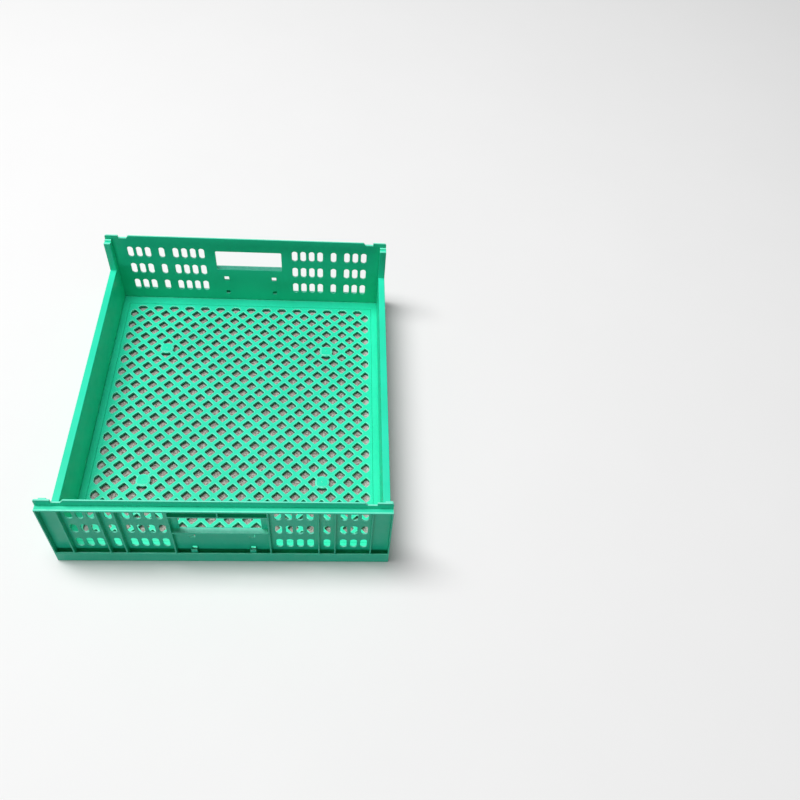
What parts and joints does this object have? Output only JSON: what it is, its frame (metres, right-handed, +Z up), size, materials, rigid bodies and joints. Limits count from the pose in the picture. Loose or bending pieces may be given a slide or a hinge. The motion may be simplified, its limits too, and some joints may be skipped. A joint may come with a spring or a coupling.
{
  "type": "collapsible storage crate",
  "caption": "Low open plastic crate with a diamond-mesh floor, tall vented end walls with hand holds that lift out, and low side walls that fold in.",
  "frame": {"origin": "centre of the footprint, on the ground plane", "axes": "+X along the two tall end walls, +Y from the front wall to the back wall, +Z up"},
  "size_m": [0.53, 0.6, 0.1675],
  "materials": {
    "frame_plastic": "satin moulded polypropylene",
    "mesh_plastic": "satin moulded polypropylene",
    "end_wall_plastic": "satin moulded polypropylene",
    "side_wall_plastic": "satin moulded polypropylene",
    "catch_plastic": "satin moulded polypropylene",
    "pin_steel": "drawn steel rod"
  },
  "bodies": {
    "base": {"base_frame": "frame_plastic", "mesh_floor": "mesh_plastic", "hinge_pin_left_1": "pin_steel", "hinge_pin_left_2": "pin_steel", "hinge_pin_left_3": "pin_steel", "hinge_pin_left_4": "pin_steel", "hinge_pin_left_5": "pin_steel", "hinge_pin_right_1": "pin_steel", "hinge_pin_right_2": "pin_steel", "hinge_pin_right_3": "pin_steel", "hinge_pin_right_4": "pin_steel", "hinge_pin_right_5": "pin_steel"},
    "front_wall_body": {"front_wall": "end_wall_plastic"},
    "back_wall_body": {"back_wall": "end_wall_plastic"},
    "left_wall_body": {"left_wall": "side_wall_plastic"},
    "right_wall_body": {"right_wall": "side_wall_plastic"},
    "catch_front_left_body": {"catch_front_left": "catch_plastic"},
    "catch_front_right_body": {"catch_front_right": "catch_plastic"},
    "catch_back_left_body": {"catch_back_left": "catch_plastic"},
    "catch_back_right_body": {"catch_back_right": "catch_plastic"}
  },
  "joints": [
    {"name": "front_wall_lift", "type": "slide", "parent": "base", "child": "front_wall_body", "axis": [0, 0, 1], "range_m": [0, 0.17]},
    {"name": "back_wall_lift", "type": "slide", "parent": "base", "child": "back_wall_body", "axis": [0, 0, 1], "range_m": [0, 0.17]},
    {"name": "left_wall_fold", "type": "hinge", "parent": "base", "child": "left_wall_body", "pos_m": [-0.2565, 0, 0.0119], "axis": [0, 1, 0], "range_deg": [0, 90]},
    {"name": "right_wall_fold", "type": "hinge", "parent": "base", "child": "right_wall_body", "pos_m": [0.2565, 0, 0.0119], "axis": [0, -1, 0], "range_deg": [0, 90]},
    {"name": "catch_front_left_slide", "type": "slide", "parent": "base", "child": "catch_front_left_body", "axis": [1, 0, 0], "range_m": [0, 0.014]},
    {"name": "catch_front_right_slide", "type": "slide", "parent": "base", "child": "catch_front_right_body", "axis": [-1, 0, 0], "range_m": [0, 0.014]},
    {"name": "catch_back_left_slide", "type": "slide", "parent": "base", "child": "catch_back_left_body", "axis": [1, 0, 0], "range_m": [0, 0.014]},
    {"name": "catch_back_right_slide", "type": "slide", "parent": "base", "child": "catch_back_right_body", "axis": [-1, 0, 0], "range_m": [0, 0.014]}
  ]
}
